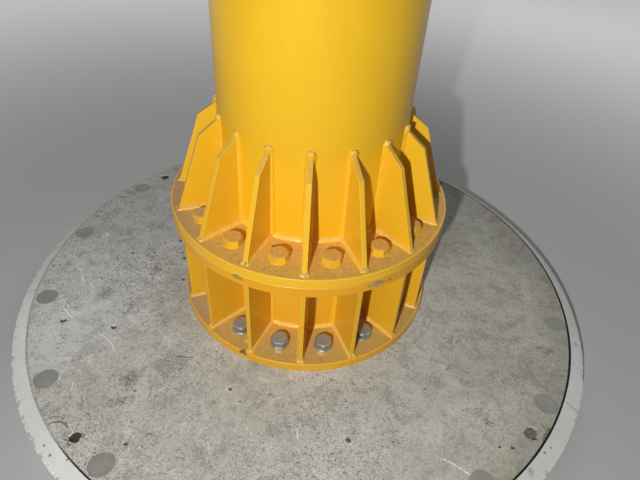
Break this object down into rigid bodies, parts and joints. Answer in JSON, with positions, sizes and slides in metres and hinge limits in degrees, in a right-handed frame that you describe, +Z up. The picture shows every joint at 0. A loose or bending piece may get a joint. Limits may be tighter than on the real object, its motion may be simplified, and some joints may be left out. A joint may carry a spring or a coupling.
{
  "type": "jib crane column base",
  "caption": "Foot of a pillar jib crane: a round steel column on a gusseted bolted flange joint and short pedestal, on a round raised concrete plinth.",
  "frame": {"origin": "centre of the plinth's underside, on the column's axis", "axes": "+Z up along the column's axis; -Y is the side seen in the picture, where one rib of each ring of gussets points"},
  "size_m": [1.8198, 1.8198, 1.1],
  "materials": {
    "concrete": "matt",
    "rim_concrete": "smooth matt",
    "yellow_paint": "satin"
  },
  "bodies": {
    "root": {"plinth_disc": "concrete", "plinth_rim": "rim_concrete", "base_flange": "yellow_paint", "pedestal_drum": "yellow_paint", "pedestal_flange": "yellow_paint", "column_flange": "yellow_paint", "column_tube": "yellow_paint", "pedestal_rib_01": "yellow_paint", "pedestal_rib_02": "yellow_paint", "pedestal_rib_03": "yellow_paint", "pedestal_rib_04": "yellow_paint", "pedestal_rib_05": "yellow_paint", "pedestal_rib_06": "yellow_paint", "pedestal_rib_07": "yellow_paint", "pedestal_rib_08": "yellow_paint", "pedestal_rib_09": "yellow_paint", "pedestal_rib_10": "yellow_paint", "pedestal_rib_11": "yellow_paint", "pedestal_rib_12": "yellow_paint", "pedestal_rib_13": "yellow_paint", "pedestal_rib_14": "yellow_paint", "pedestal_rib_15": "yellow_paint", "pedestal_rib_16": "yellow_paint", "column_rib_01": "yellow_paint", "column_rib_02": "yellow_paint", "column_rib_03": "yellow_paint", "column_rib_04": "yellow_paint", "column_rib_05": "yellow_paint", "column_rib_06": "yellow_paint", "column_rib_07": "yellow_paint", "column_rib_08": "yellow_paint", "column_rib_09": "yellow_paint", "column_rib_10": "yellow_paint", "column_rib_11": "yellow_paint", "column_rib_12": "yellow_paint", "column_rib_13": "yellow_paint", "column_rib_14": "yellow_paint", "column_rib_15": "yellow_paint", "column_rib_16": "yellow_paint"}
  },
  "joints": []
}
